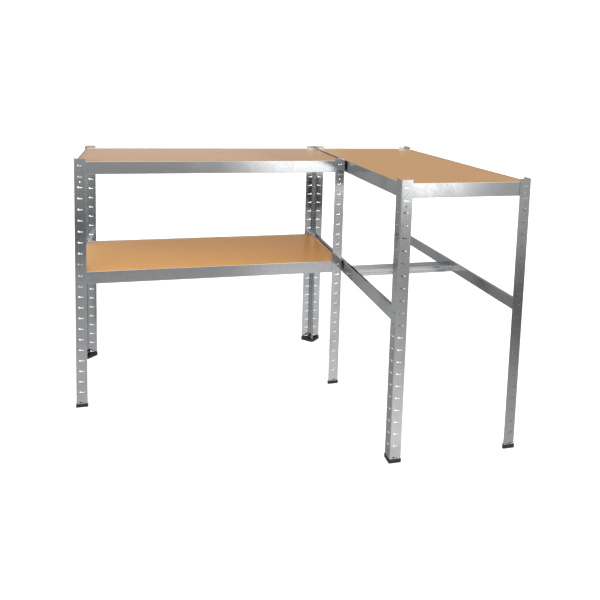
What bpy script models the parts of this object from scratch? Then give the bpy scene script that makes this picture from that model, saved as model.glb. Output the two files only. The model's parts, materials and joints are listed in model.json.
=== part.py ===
"""Corner potting bench: two boltless racking bays of galvanised steel that stand side by side in an L.

Metres, +Z up. X runs along the main bay, Y runs to the back. The origin is on the floor, under the centre
of the bench's bounding box. Each bay is built in its own coordinates, u along its length, v across its
depth and z up, and hangs on an empty at its corner u = v = 0.
"""

import math

import bmesh
import bpy
from mathutils import Matrix, Vector

# Bays
BAY_LENGTH = 1.000
BAY_DEPTH = 0.450
POST_TOP = 0.920
CLEARANCE = 0.0003

# Posts: equal angle, its two flanges wrapped round the outside of the frames
POST_WIDTH = 0.039
POST_STEEL = 0.0015
HEEL_RADIUS = 0.003
HEEL_STEPS = 3

# Slots: a flat slit with a taller key beside the heel, in one column down each flange
SLOT_PITCH = 0.040
TOP_SLOT_DROP = 0.0233
SLOT_WIDTH = 0.017
SLOT_HEIGHT = 0.0024
KEY_WIDTH = 0.0055
KEY_RISE = 0.0044
LOWEST_SLOT_MARGIN = 0.001
PEG_HOLE_RADIUS = 0.0025
PEG_HOLE_SIDES = 6
PEG_HOLE_COUNT = 2

# Feet: triangular caps pushed over the post ends
FOOT_HEIGHT = 0.013
FOOT_FLOOR = 0.003
FOOT_OVERHANG = 0.0016
FOOT_NOSE = 0.0050

# Beams: a folded web with a hem on top, a ledge under the board and a lip along the bottom. The wing's
# lower rails carry no board: they are plain angles, the same web with a flat flange on top
BEAM_HEIGHT = 0.046
BEAM_STEEL = 0.0012
LEDGE_REACH = 0.012
LIP_REACH = 0.010
RAIL_FLANGE = 0.012
BEAM_DROP = 0.011
CONNECTOR_LENGTH = 0.030
CONNECTOR_MARGIN = 0.0035

# Hooks: two at each beam end, one slot apart. Each has the shape of a slot, goes in through it and drops
HOOK_SIDE_CLEARANCE = 0.0005
HOOK_ROOT = 0.0025
HOOK_LAP = 0.0025
HOOK_STEEL = 0.0012
HOOK_FOOT_HEIGHT = 0.0018

# Boards: loose panels that drop in between the hems
BOARD_THICKNESS = 0.005
BOARD_SINK = 0.0007
BOARD_CLEARANCE = 0.001

# Ties: angles across the middle of the wing's long beams and rails, hung on a tongue at each end
TIE_RISE = 0.0073
TIE_FLANGE = 0.038
TIE_STEEL = 0.0012
TIE_TAB_WIDTH = 0.014
TIE_TAB_MARGIN = 0.005
TONGUE_HEIGHT = 0.014
TONGUE_PROUD = 0.0009
TIE_SLOT_WIDTH = 0.006
TIE_SLOT_CLEARANCE = 0.002

# The shelf and the wing's lower rails hang this many slots below the top frames
SHELF_SLOT = 10

# Worked out from the sizes above
WEB_OUTER = POST_STEEL + CLEARANCE
WEB_INNER = WEB_OUTER + BEAM_STEEL
HEM_INNER = WEB_OUTER + 2 * BEAM_STEEL
LEDGE_EDGE = HEM_INNER + LEDGE_REACH
LEDGE_TOP = -(BOARD_SINK + BOARD_THICKNESS + CLEARANCE)
LEDGE_BOTTOM = LEDGE_TOP - BEAM_STEEL
LIP_TOP = BEAM_STEEL - BEAM_HEIGHT
TIE_LOW = LIP_TOP + TIE_RISE
TIE_HELD = LEDGE_BOTTOM - CLEARANCE
TONGUE_LOW = (TIE_LOW + TIE_HELD - TONGUE_HEIGHT) / 2
TONGUE_HIGH = TONGUE_LOW + TONGUE_HEIGHT
CORNER_CUT = HEM_INNER + CLEARANCE
LEDGE_CUT = LEDGE_EDGE + CLEARANCE
HOOK_DROP = TOP_SLOT_DROP - BEAM_DROP
KEY_START = (POST_WIDTH - SLOT_WIDTH) / 2
SLOT_COUNT = 1 + int(
    (POST_TOP - TOP_SLOT_DROP - FOOT_HEIGHT - SLOT_HEIGHT / 2 - LOWEST_SLOT_MARGIN) / SLOT_PITCH
)
TOP_FRAME_Z = POST_TOP - BEAM_DROP
SHELF_FRAME_Z = TOP_FRAME_Z - SHELF_SLOT * SLOT_PITCH
BAY_GAP = 2 * FOOT_OVERHANG + CLEARANCE
WIDTH = 2 * FOOT_OVERHANG + BAY_LENGTH + BAY_GAP + BAY_DEPTH
DEPTH = 2 * FOOT_OVERHANG + BAY_LENGTH

# Colours are linear
STEEL = ((0.52, 0.53, 0.54), 0.34, 1.0)
HARDBOARD = ((0.56, 0.34, 0.17), 0.42, 0.0)
BLACK_PLASTIC = ((0.012, 0.012, 0.013), 0.48, 0.0)

QUARTER = math.pi / 2


def clear_scene():
    """Remove every object and mesh that the new file came with."""
    for obj in list(bpy.data.objects):
        bpy.data.objects.remove(obj)
    for mesh in list(bpy.data.meshes):
        bpy.data.meshes.remove(mesh)


def add_prism(bm, outline, low, high, sweep):
    """Add a closed prism: outline holds pairs on the two axes that sweep, "X", "Y" or "Z", leaves over."""
    axis = "XYZ".index(sweep)

    def corner(pair, level):
        values = list(pair)
        values.insert(axis, level)
        return Vector(values)

    base = bm.faces.new([bm.verts.new(corner(pair, low)) for pair in outline])
    grown = bmesh.ops.extrude_face_region(bm, geom=[base])["geom"]
    moved = [item for item in grown if isinstance(item, bmesh.types.BMVert)]
    shift = corner((0.0, 0.0), high - low)
    bmesh.ops.translate(bm, verts=moved, vec=shift)


def rectangle(low_a, high_a, low_b, high_b):
    """Corners of an upright rectangle, anticlockwise."""
    return [(low_a, low_b), (high_a, low_b), (high_a, high_b), (low_a, high_b)]


def mesh_of(name, *prisms):
    """A mesh of separate prisms, each given as (outline, low, high, sweep)."""
    bm = bmesh.new()
    for prism in prisms:
        add_prism(bm, *prism)
    bmesh.ops.recalc_face_normals(bm, faces=bm.faces)
    mesh = bpy.data.meshes.new(name)
    bm.to_mesh(mesh)
    bm.free()
    return mesh


def shaped(name, blank, joined=(), cut=None):
    """The mesh left when solids are joined to a blank one by one and then one mesh of cutters is cut away."""
    base = bpy.data.objects.new(name, blank)
    bpy.context.scene.collection.objects.link(base)
    helpers = []
    steps = [("UNION", mesh) for mesh in joined]
    if cut is not None:
        steps.append(("DIFFERENCE", cut))
    for operation, mesh in steps:
        helper = bpy.data.objects.new(name + "_tool", mesh)
        helper.hide_render = True
        helper.display_type = "WIRE"
        bpy.context.scene.collection.objects.link(helper)
        helpers.append(helper)
        modifier = base.modifiers.new(operation.lower(), "BOOLEAN")
        modifier.operation = operation
        modifier.solver = "EXACT"
        modifier.object = helper
    bpy.context.view_layer.update()
    graph = bpy.context.evaluated_depsgraph_get()
    result = bpy.data.meshes.new_from_object(base.evaluated_get(graph))
    result.name = name
    for obj in [base, *helpers]:
        used = obj.data
        bpy.data.objects.remove(obj)
        bpy.data.meshes.remove(used)
    return result


def angle_outline(width, steel, heel_radius):
    """Section of the post's angle, with its heel at the origin and a rounded bend outside."""
    outline = [(width, 0.0), (width, steel), (steel, steel), (steel, width), (0.0, width)]
    for step in range(HEEL_STEPS + 1):
        turn = math.pi + QUARTER * step / HEEL_STEPS
        outline.append((heel_radius * (1 + math.cos(turn)), heel_radius * (1 + math.sin(turn))))
    return outline


def slot_outline(level):
    """The slit and its key, as distances from the heel and heights, with the slit's middle at level."""
    bottom = level - SLOT_HEIGHT / 2
    top = level + SLOT_HEIGHT / 2
    key_top = level + KEY_RISE
    key_end = KEY_START + KEY_WIDTH
    end = KEY_START + SLOT_WIDTH
    return [
        (KEY_START, bottom), (end, bottom), (end, top), (key_end, top), (key_end, key_top), (KEY_START, key_top),
    ]


def peg_hole_outline(level):
    """A small round hole in the middle of a flange."""
    turns = [2 * math.pi * side / PEG_HOLE_SIDES for side in range(PEG_HOLE_SIDES)]
    middle = POST_WIDTH / 2
    return [(middle + PEG_HOLE_RADIUS * math.cos(a), level + PEG_HOLE_RADIUS * math.sin(a)) for a in turns]


def post_mesh():
    """A post with its heel at the origin, flanges along +u and +v, and holes through both."""
    bottom = FOOT_FLOOR + CLEARANCE
    blank = mesh_of("blank", (angle_outline(POST_WIDTH, POST_STEEL, HEEL_RADIUS), bottom, POST_TOP, "Z"))
    top_slot = POST_TOP - TOP_SLOT_DROP
    outlines = [slot_outline(top_slot - row * SLOT_PITCH) for row in range(SLOT_COUNT)]
    outlines += [peg_hole_outline(top_slot - (row + 0.5) * SLOT_PITCH) for row in range(PEG_HOLE_COUNT)]
    cutters = []
    for outline in outlines:
        cutters.append((outline, -POST_STEEL, 2 * POST_STEEL, "Y"))
        cutters.append((outline, -POST_STEEL, 2 * POST_STEEL, "X"))
    return shaped("post", blank, cut=mesh_of("cutters", *cutters))


def foot_mesh():
    """A cap with an upright socket for the end of the angle, and a slanting face across the inner side."""
    low = -FOOT_OVERHANG
    high = POST_WIDTH + FOOT_OVERHANG
    body = [(low, low), (high, low), (high, FOOT_NOSE), (FOOT_NOSE, high), (low, high)]
    near = -CLEARANCE
    inner = POST_STEEL + CLEARANCE
    far = POST_WIDTH + CLEARANCE
    socket = [(near, near), (far, near), (far, inner), (inner, inner), (inner, far), (near, far)]
    blank = mesh_of("blank", (body, 0.0, FOOT_HEIGHT, "Z"))
    cutter = mesh_of("cutter", (socket, FOOT_FLOOR, 2 * FOOT_HEIGHT, "Z"))
    return shaped("foot", blank, cut=cutter)


def hook_meshes(length):
    """The four hooks of a beam: a plate shaped like the slot that it goes in through, and its shank."""
    meshes = []
    near = KEY_START + HOOK_SIDE_CLEARANCE
    neck = KEY_START + KEY_WIDTH - HOOK_SIDE_CLEARANCE
    far = KEY_START + SLOT_WIDTH - HOOK_SIDE_CLEARANCE
    outer = -CLEARANCE - HOOK_STEEL
    for row in range(2):
        root = -HOOK_DROP - row * SLOT_PITCH - SLOT_HEIGHT / 2 + CLEARANCE
        toe = root - HOOK_LAP
        step = toe + HOOK_FOOT_HEIGHT
        crown = root + HOOK_ROOT
        plate = [(near, toe), (far, toe), (far, step), (neck, step), (neck, crown), (near, crown)]
        mirrored = [(length - x, z) for x, z in plate]
        shank = rectangle(outer + HOOK_STEEL / 2, WEB_OUTER + BEAM_STEEL / 2, root, crown - CLEARANCE)
        low = near + CLEARANCE
        high = neck - CLEARANCE
        meshes.append(mesh_of("hook_plate", (plate, outer, -CLEARANCE, "Y")))
        meshes.append(mesh_of("hook_plate", (mirrored, outer, -CLEARANCE, "Y")))
        meshes.append(mesh_of("hook_shank", (shank, low, high, "X")))
        meshes.append(mesh_of("hook_shank", (shank, length - high, length - low, "X")))
    return meshes


def beam_folds():
    """Sections, as (v, z), of the hem with its ledge and of the lip, both reaching half into the web."""
    rooted = WEB_OUTER + BEAM_STEEL / 2
    hem = [
        (rooted, 0.0), (rooted, LEDGE_BOTTOM), (LEDGE_EDGE, LEDGE_BOTTOM), (LEDGE_EDGE, LEDGE_TOP),
        (HEM_INNER, LEDGE_TOP), (HEM_INNER, 0.0),
    ]
    lip = rectangle(rooted, WEB_OUTER + LIP_REACH, -BEAM_HEIGHT, LIP_TOP)
    return [hem, lip]


def rail_folds():
    """Section, as (v, z), of the flat flange on top of a lower rail, reaching half into the web."""
    rooted = WEB_OUTER + BEAM_STEEL / 2
    return [rectangle(rooted, WEB_OUTER + RAIL_FLANGE, -BEAM_STEEL, 0.0)]


def web_outline(length, start):
    """The web seen from the front, with a connector that hangs down at each end."""
    deep = -max(BEAM_HEIGHT, HOOK_DROP + SLOT_PITCH + SLOT_HEIGHT / 2 + CONNECTOR_MARGIN)
    near = start + CONNECTOR_LENGTH
    far = length - near
    return [
        (start, 0.0), (start, deep), (near, deep), (near, -BEAM_HEIGHT), (far, -BEAM_HEIGHT), (far, deep),
        (length - start, deep), (length - start, 0.0),
    ]


def beam_mesh(name, length, web_start, folds, fold_start, tie_slot):
    """A beam from bay corner to bay corner along u, its outer side towards -v and its top edge at z = 0."""
    blank = mesh_of("web", (web_outline(length, web_start), WEB_OUTER, WEB_INNER, "Y"))
    joined = [mesh_of("fold", (outline, fold_start, length - fold_start, "X")) for outline in folds]
    joined += hook_meshes(length)
    cutter = None
    if tie_slot:
        near = (length - TIE_SLOT_WIDTH) / 2
        far = (length + TIE_SLOT_WIDTH) / 2
        opening = rectangle(near, far, TONGUE_LOW - CLEARANCE, TONGUE_HIGH + TIE_SLOT_CLEARANCE)
        cutter = mesh_of("opening", (opening, WEB_OUTER - BEAM_STEEL, WEB_INNER + BEAM_STEEL, "Y"))
    return shaped(name, blank, joined=joined, cut=cutter)


def tie_mesh():
    """A tie along v: its web stands at u = 0, its flange lies towards -u, and its tongues sit in the beams."""
    low = TIE_LOW
    held = TIE_HELD
    crown = LEDGE_TOP
    near = WEB_INNER + CLEARANCE
    far = BAY_DEPTH - near
    step = LEDGE_CUT
    web = [
        (near, low), (far, low), (far, held), (BAY_DEPTH - step, held), (BAY_DEPTH - step, crown),
        (step, crown), (step, held), (near, held),
    ]
    blank = mesh_of("web", (web, 0.0, TIE_STEEL, "X"))
    joined = [mesh_of("flange", (rectangle(-TIE_FLANGE, TIE_STEEL / 2, near, far), low, low + TIE_STEEL, "Z"))]
    tab = rectangle(-TIE_TAB_WIDTH, TIE_STEEL / 2, low + TIE_TAB_MARGIN, held - TIE_TAB_MARGIN)
    proud = WEB_OUTER - TONGUE_PROUD
    for edge, inside, outside in ((near, near + TIE_STEEL, proud), (far, far - TIE_STEEL, BAY_DEPTH - proud)):
        joined.append(mesh_of("tab", (tab, min(edge, inside), max(edge, inside), "Y")))
        tongue = rectangle(min(inside, outside), max(inside, outside), TONGUE_LOW, TONGUE_HIGH)
        joined.append(mesh_of("tongue", (tongue, 0.0, TIE_STEEL, "X")))
    return shaped("tie", blank, joined=joined)


def board_mesh():
    """A loose board, centred on the origin in plan and with its underside at z = 0."""
    inset = HEM_INNER + BOARD_CLEARANCE
    half_length = BAY_LENGTH / 2 - inset
    half_depth = BAY_DEPTH / 2 - inset
    outline = rectangle(-half_length, half_length, -half_depth, half_depth)
    return mesh_of("board", (outline, 0.0, BOARD_THICKNESS, "Z"))


def finish(name, surface):
    """A Principled material of its own for one piece."""
    colour, roughness, metallic = surface
    material = bpy.data.materials.new(name)
    material.use_nodes = True
    shader = material.node_tree.nodes["Principled BSDF"]
    shader.inputs["Base Color"].default_value = (*colour, 1.0)
    shader.inputs["Roughness"].default_value = roughness
    shader.inputs["Metallic"].default_value = metallic
    return material


def place(name, mesh, bay, spot, turn, surface):
    """Add one piece to a bay at a place in the bay's coordinates, turned about its own upright axis."""
    obj = bpy.data.objects.new(name, mesh)
    bpy.context.scene.collection.objects.link(obj)
    obj.parent = bay
    obj.location = spot
    obj.rotation_euler = (0.0, 0.0, turn)
    if not mesh.materials:
        mesh.materials.append(None)
    obj.material_slots[0].link = "OBJECT"
    obj.material_slots[0].material = finish(name, surface)
    return obj


def bay_frame(name, corner, turn):
    """The empty that carries a bay, at the bay's corner u = v = 0."""
    empty = bpy.data.objects.new(name, None)
    bpy.context.scene.collection.objects.link(empty)
    empty.matrix_world = Matrix.Translation(corner) @ Matrix.Rotation(turn, 4, "Z")
    return empty


def add_posts(prefix, bay, corners, post, foot):
    """Four posts and their feet. corners names the bay's corners in the order of a walk round it."""
    spots = [(0.0, 0.0), (BAY_LENGTH, 0.0), (BAY_LENGTH, BAY_DEPTH), (0.0, BAY_DEPTH)]
    for step, (corner, (u, v)) in enumerate(zip(corners, spots)):
        place(f"{prefix}_post_{corner}", post, bay, (u, v, 0.0), step * QUARTER, STEEL)
        place(f"{prefix}_foot_{corner}", foot, bay, (u, v, 0.0), step * QUARTER, BLACK_PLASTIC)


def add_long_beams(names, bay, level, beam):
    """The pair of beams along the bay, at v = 0 and at v = BAY_DEPTH."""
    place(names[0], beam, bay, (0.0, 0.0, level), 0.0, STEEL)
    place(names[1], beam, bay, (BAY_LENGTH, BAY_DEPTH, level), 2 * QUARTER, STEEL)


def add_short_beams(names, bay, level, beam):
    """The pair of beams across the bay, at u = 0 and at u = BAY_LENGTH."""
    place(names[0], beam, bay, (0.0, BAY_DEPTH, level), -QUARTER, STEEL)
    place(names[1], beam, bay, (BAY_LENGTH, 0.0, level), QUARTER, STEEL)


def add_tie(name, bay, level, tie):
    """A tie across the middle of the bay, its flange towards the bay's far end."""
    place(name, tie, bay, (BAY_LENGTH / 2, BAY_DEPTH, level), 2 * QUARTER, STEEL)


def add_board(name, bay, level, board):
    """A board that rests on the ledges of a frame."""
    rest = level + LEDGE_TOP + CLEARANCE
    place(name, board, bay, (BAY_LENGTH / 2, BAY_DEPTH / 2, rest), 0.0, HARDBOARD)


def main():
    clear_scene()
    post = post_mesh()
    foot = foot_mesh()
    long_beam = beam_mesh("long_beam", BAY_LENGTH, WEB_OUTER, beam_folds(), CORNER_CUT, False)
    slotted_beam = beam_mesh("slotted_beam", BAY_LENGTH, WEB_OUTER, beam_folds(), CORNER_CUT, True)
    short_beam = beam_mesh("short_beam", BAY_DEPTH, CORNER_CUT, beam_folds(), LEDGE_CUT, False)
    rail = beam_mesh("rail", BAY_LENGTH, WEB_OUTER, rail_folds(), WEB_OUTER, True)
    tie = tie_mesh()
    board = board_mesh()

    left = FOOT_OVERHANG - WIDTH / 2
    back = DEPTH / 2 - FOOT_OVERHANG
    main_bay = bay_frame("main_bay", (left, back - BAY_DEPTH, 0.0), 0.0)
    wing_bay = bay_frame("wing_bay", (left + BAY_LENGTH + BAY_GAP, back, 0.0), -QUARTER)

    add_posts("main", main_bay, ("front_left", "front_right", "back_right", "back_left"), post, foot)
    add_posts("wing", wing_bay, ("back_left", "front_left", "front_right", "back_right"), post, foot)

    add_long_beams(("main_top_beam_front", "main_top_beam_back"), main_bay, TOP_FRAME_Z, long_beam)
    add_short_beams(("main_top_beam_left", "main_top_beam_right"), main_bay, TOP_FRAME_Z, short_beam)
    add_long_beams(("main_shelf_beam_front", "main_shelf_beam_back"), main_bay, SHELF_FRAME_Z, long_beam)
    add_short_beams(("main_shelf_beam_left", "main_shelf_beam_right"), main_bay, SHELF_FRAME_Z, short_beam)
    add_long_beams(("wing_top_beam_left", "wing_top_beam_right"), wing_bay, TOP_FRAME_Z, slotted_beam)
    add_short_beams(("wing_top_beam_back", "wing_top_beam_front"), wing_bay, TOP_FRAME_Z, short_beam)
    add_long_beams(("wing_lower_rail_left", "wing_lower_rail_right"), wing_bay, SHELF_FRAME_Z, rail)

    add_tie("wing_top_tie", wing_bay, TOP_FRAME_Z, tie)
    add_tie("wing_lower_tie", wing_bay, SHELF_FRAME_Z, tie)

    add_board("main_worktop_board", main_bay, TOP_FRAME_Z, board)
    add_board("main_shelf_board", main_bay, SHELF_FRAME_Z, board)
    add_board("wing_worktop_board", wing_bay, TOP_FRAME_Z, board)


if __name__ == "__main__":
    main()
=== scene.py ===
"""Looks of a corner potting bench: two bays of galvanised boltless racking that stand side by side in an L.

Metres, +Z up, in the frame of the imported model. Every post, beam, rail, tie, board and foot is made here as the
sheet-metal or moulded piece that it is, and seated on the box of the node that it stands for.
"""

import json
import logging
import math
from contextlib import contextmanager
from dataclasses import dataclass, field
from enum import Enum
from typing import Iterator, Optional, Sequence, Union

import bmesh
import bpy
from mathutils import Matrix, Vector, noise

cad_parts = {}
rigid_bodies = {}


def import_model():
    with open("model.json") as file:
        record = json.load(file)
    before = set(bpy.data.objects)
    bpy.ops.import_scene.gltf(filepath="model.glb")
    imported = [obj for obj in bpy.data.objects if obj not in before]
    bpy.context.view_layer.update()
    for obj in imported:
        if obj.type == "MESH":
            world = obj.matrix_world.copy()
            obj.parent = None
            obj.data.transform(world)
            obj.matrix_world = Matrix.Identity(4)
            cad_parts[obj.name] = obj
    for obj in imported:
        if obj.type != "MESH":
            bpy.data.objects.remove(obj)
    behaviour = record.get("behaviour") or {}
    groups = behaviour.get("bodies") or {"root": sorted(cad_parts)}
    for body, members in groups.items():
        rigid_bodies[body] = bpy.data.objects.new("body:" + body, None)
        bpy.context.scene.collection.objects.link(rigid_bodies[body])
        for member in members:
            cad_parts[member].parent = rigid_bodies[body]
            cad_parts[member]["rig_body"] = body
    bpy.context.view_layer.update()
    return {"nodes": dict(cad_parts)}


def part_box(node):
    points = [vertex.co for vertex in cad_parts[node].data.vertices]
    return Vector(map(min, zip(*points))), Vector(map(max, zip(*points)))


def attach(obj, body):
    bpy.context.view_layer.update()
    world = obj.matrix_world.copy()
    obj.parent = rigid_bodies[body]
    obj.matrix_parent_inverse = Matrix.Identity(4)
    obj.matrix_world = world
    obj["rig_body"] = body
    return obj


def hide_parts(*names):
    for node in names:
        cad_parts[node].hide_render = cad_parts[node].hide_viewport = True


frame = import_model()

Point = tuple[float, float]
Colour = tuple[float, float, float]

log = logging.getLogger("potting_bench")

QUARTER = math.pi / 2
BAY_LENGTH = 1.000
BAY_DEPTH = 0.450
SEAT_TOLERANCE = 0.0004
MERGE = 1e-6
# Pieces that the bright steel beside them doesn't mirror.
UNSEEN_IN_STEEL = ("main_shelf_board", "wing_post_front_left")


class Place(Enum):
    """A place round a bay, as a number of quarter turns anticlockwise."""

    @property
    def turn(self) -> float:
        """Angle about the upright axis, in radians."""
        return self.value * QUARTER


class Side(Place):
    """The side of a bay that a beam closes, as the quarter turns that bring a front beam there."""

    FRONT = 0
    RIGHT = 1
    BACK = 2
    LEFT = 3


class Corner(Place):
    """The corner of a bay that a post stands in, as the quarter turns that bring a front left post there."""

    FRONT_LEFT = 0
    FRONT_RIGHT = 1
    BACK_RIGHT = 2
    BACK_LEFT = 3


class Grain(Enum):
    """The local axis that a sheet was rolled along, as an index."""

    ALONG_X = 0
    ALONG_Y = 1
    ALONG_Z = 2


class Wire:
    """A socket's output in a node tree, with arithmetic that adds Math nodes."""

    def __init__(self, graph: "Graph", socket: bpy.types.NodeSocket) -> None:
        """Keep the tree and the socket."""
        self.graph = graph
        self.socket = socket

    def _math(self, operation: str, first: "Value", second: "Value") -> "Wire":
        """Add one Math node.

        Args:
            operation: The Math node's operation.
            first: The first operand.
            second: The second operand.

        Returns:
            The node's result.
        """
        return self.graph.node("ShaderNodeMath", {"operation": operation}, {0: first, 1: second})

    def __add__(self, other: "Value") -> "Wire":
        """Sum."""
        return self._math("ADD", self, other)

    __radd__ = __add__

    def __sub__(self, other: "Value") -> "Wire":
        """Difference."""
        return self._math("SUBTRACT", self, other)

    def __rsub__(self, other: "Value") -> "Wire":
        """Difference, reflected."""
        return self._math("SUBTRACT", other, self)

    def __mul__(self, other: "Value") -> "Wire":
        """Product."""
        return self._math("MULTIPLY", self, other)

    __rmul__ = __mul__

    def __abs__(self) -> "Wire":
        """Size without the sign."""
        return self._math("ABSOLUTE", self, 0.0)

    def at_most(self, other: "Value") -> "Wire":
        """The smaller of the two."""
        return self._math("MINIMUM", self, other)

    def at_least(self, other: "Value") -> "Wire":
        """The larger of the two."""
        return self._math("MAXIMUM", self, other)

    def step(self, low: float, high: float) -> "Wire":
        """A smooth step.

        Args:
            low: The value that gives 0.
            high: The value that gives 1, above or below low.

        Returns:
            A number from 0 to 1.
        """
        settings = {"interpolation_type": "SMOOTHSTEP"}
        return self.graph.node("ShaderNodeMapRange", settings, {0: self, 1: low, 2: high, 3: 0.0, 4: 1.0})


Value = Union[Wire, float, Sequence[float]]


class Graph:
    """Adds nodes to one node tree."""

    def __init__(self, tree: bpy.types.NodeTree) -> None:
        """Keep the tree."""
        self.tree = tree

    def node(self, kind: str, settings: Optional[dict] = None, inputs: Optional[dict] = None,
             output: Union[int, str] = 0) -> Wire:
        """Add any node.

        Args:
            kind: The node's type.
            settings: Its attributes, set before its sockets. "stops" fills a ramp with (place, colour) pairs.
            inputs: Values or wires by socket name or index.
            output: The output socket that is returned.

        Returns:
            The chosen output.
        """
        made = self.tree.nodes.new(kind)
        for name, value in (settings or {}).items():
            if name == "stops":
                self._fill_ramp(made.color_ramp, value)
            else:
                setattr(made, name, value)
        for name, value in (inputs or {}).items():
            self.feed(made.inputs[name], value)
        return Wire(self, made.outputs[output])

    def feed(self, socket: bpy.types.NodeSocket, value: Value) -> None:
        """Link a wire to an input socket, or set its value.

        Args:
            socket: The input.
            value: A wire, a number, a colour or a vector.
        """
        if isinstance(value, Wire):
            self.tree.links.new(value.socket, socket)
        elif socket.type == "RGBA" and len(value) == 3:
            socket.default_value = (*value, 1.0)
        else:
            socket.default_value = value

    @staticmethod
    def _fill_ramp(ramp: bpy.types.ColorRamp, stops: Sequence[tuple[float, Colour]]) -> None:
        """Set a ramp's stops.

        Args:
            ramp: The ramp, which starts with two stops.
            stops: Places from 0 to 1 and their colours.
        """
        while len(ramp.elements) < len(stops):
            ramp.elements.new(1.0)
        for element, (place, colour) in zip(ramp.elements, stops):
            element.position = place
            element.color = (*colour, 1.0)

    def mix(self, factor: Value, first: Value, second: Value) -> Wire:
        """Mix two colours.

        Args:
            factor: 0 gives the first colour and 1 the second.
            first: The first colour.
            second: The second colour.

        Returns:
            The mixed colour.
        """
        return self.node("ShaderNodeMix", {"data_type": "RGBA"}, {0: factor, 6: first, 7: second}, 2)

    def scaled(self, vector: Value, by: Sequence[float]) -> Wire:
        """A vector times another, part by part."""
        return self.node("ShaderNodeVectorMath", {"operation": "MULTIPLY"}, {0: vector, 1: by})

    def shifted(self, vector: Value, by: Value) -> Wire:
        """A vector plus another."""
        return self.node("ShaderNodeVectorMath", {"operation": "ADD"}, {0: vector, 1: by})

    def noise(self, where: Wire, scale: float, detail: float = 2.0, roughness: float = 0.5) -> Wire:
        """Smooth noise from 0 to 1.

        Args:
            where: The place in space.
            scale: Waves to the metre.
            detail: How many finer octaves are added.
            roughness: How strong the finer octaves are.

        Returns:
            The noise.
        """
        inputs = {"Vector": where, "Scale": scale, "Detail": detail, "Roughness": roughness}
        return self.node("ShaderNodeTexNoise", {}, inputs)


class Paint(Graph):
    """One material's node tree: its Principled shader, a place that differs from piece to piece, and edges."""

    def __init__(self, name: str) -> None:
        """Make the material.

        Args:
            name: The material's name.
        """
        self.material = bpy.data.materials.new(name)
        self.material.use_nodes = True
        super().__init__(self.material.node_tree)
        self.shader = self.tree.nodes["Principled BSDF"]

    def place(self) -> Wire:
        """The point on the piece, in metres from its origin, moved by the piece's own seed.

        Returns:
            The point.
        """
        local = self.node("ShaderNodeTexCoord", output="Object")
        seed = self.node("ShaderNodeAttribute", {"attribute_name": "seed"}, output="Vector")
        return self.shifted(local, seed)

    def edges(self, radius: float) -> Wire:
        """A mask that is 1 on the piece's outer and inner edges.

        Args:
            radius: How far from an edge it reaches, in metres.

        Returns:
            The mask.
        """
        rounded = self.node("ShaderNodeBevel", {"samples": 4}, {"Radius": radius})
        flat = self.node("ShaderNodeNewGeometry", output="Normal")
        along = self.node("ShaderNodeVectorMath", {"operation": "DOT_PRODUCT"}, {0: rounded, 1: flat}, "Value")
        return along.step(0.995, 0.90)

    def bump(self, height: Wire, depth: float, under: Optional[Wire] = None) -> Wire:
        """A bumped normal.

        Args:
            height: The height, from 0 to 1.
            depth: What a height of 1 stands for, in metres.
            under: The normal that it is added to.

        Returns:
            The normal.
        """
        inputs = {"Strength": 1.0, "Distance": depth, "Height": height}
        if under is not None:
            inputs["Normal"] = under
        return self.node("ShaderNodeBump", {}, inputs)

    def set(self, **sockets: Value) -> None:
        """Set the Principled shader's sockets, with _ for a space in a name."""
        for name, value in sockets.items():
            self.feed(self.shader.inputs[name.replace("_", " ")], value)


@dataclass(frozen=True)
class Galvanised:
    """Bright zinc-coated sheet: rolling lines, spangle, dulled patches, shop grime and burnished edges."""

    name: str
    slot: str
    grain: Grain
    zinc: Colour = (0.62, 0.63, 0.64)
    dulled: Colour = (0.50, 0.51, 0.52)
    burnished: Colour = (0.80, 0.80, 0.80)
    roughness: float = 0.10
    line_pitch: float = 0.004
    spangle_size: float = 0.006
    wave_length: float = 0.110
    wave_depth: float = 0.00022
    relief: float = 0.000012
    rolled_scale: float = 1.5
    cloud_scale: float = 9.0
    scuff_scale: float = 60.0
    edge_reach: float = 0.0012

    def material(self) -> bpy.types.Material:
        """Build the material.

        Returns:
            The material.
        """
        paint = Paint(self.name)
        place = paint.place()
        rolled = [1.0 / self.line_pitch] * 3
        rolled[self.grain.value] = self.rolled_scale
        lines = paint.noise(paint.scaled(place, rolled), 1.0, 3.0, 0.6)
        cells = paint.node("ShaderNodeTexVoronoi", {"feature": "F1"},
                           {"Vector": place, "Scale": 1.0 / self.spangle_size}, "Color")
        spangle = paint.node("ShaderNodeSeparateColor", {}, {0: cells})
        clouds = paint.noise(place, self.cloud_scale, 4.0, 0.55)
        dull = clouds.step(0.45, 0.78)
        scuffs = paint.noise(place, self.scuff_scale, 5.0, 0.7).step(0.62, 0.75)
        worn = paint.edges(self.edge_reach)
        tone = paint.mix(dull * 0.7 + spangle * 0.18 + lines * 0.12, self.zinc, self.dulled)
        tone = paint.mix(worn * 0.8, tone, self.burnished)
        rough = self.roughness + 0.08 * dull + 0.03 * spangle + 0.04 * lines + 0.06 * scuffs - 0.03 * worn
        wave = paint.noise(place, 1.0 / self.wave_length, 1.0, 0.4)
        normal = paint.bump(wave, self.wave_depth)
        normal = paint.bump(lines * 0.6 + spangle * 0.4, self.relief, normal)
        paint.set(Base_Color=tone, Metallic=1.0, Roughness=rough, Normal=normal)
        return paint.material


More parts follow.
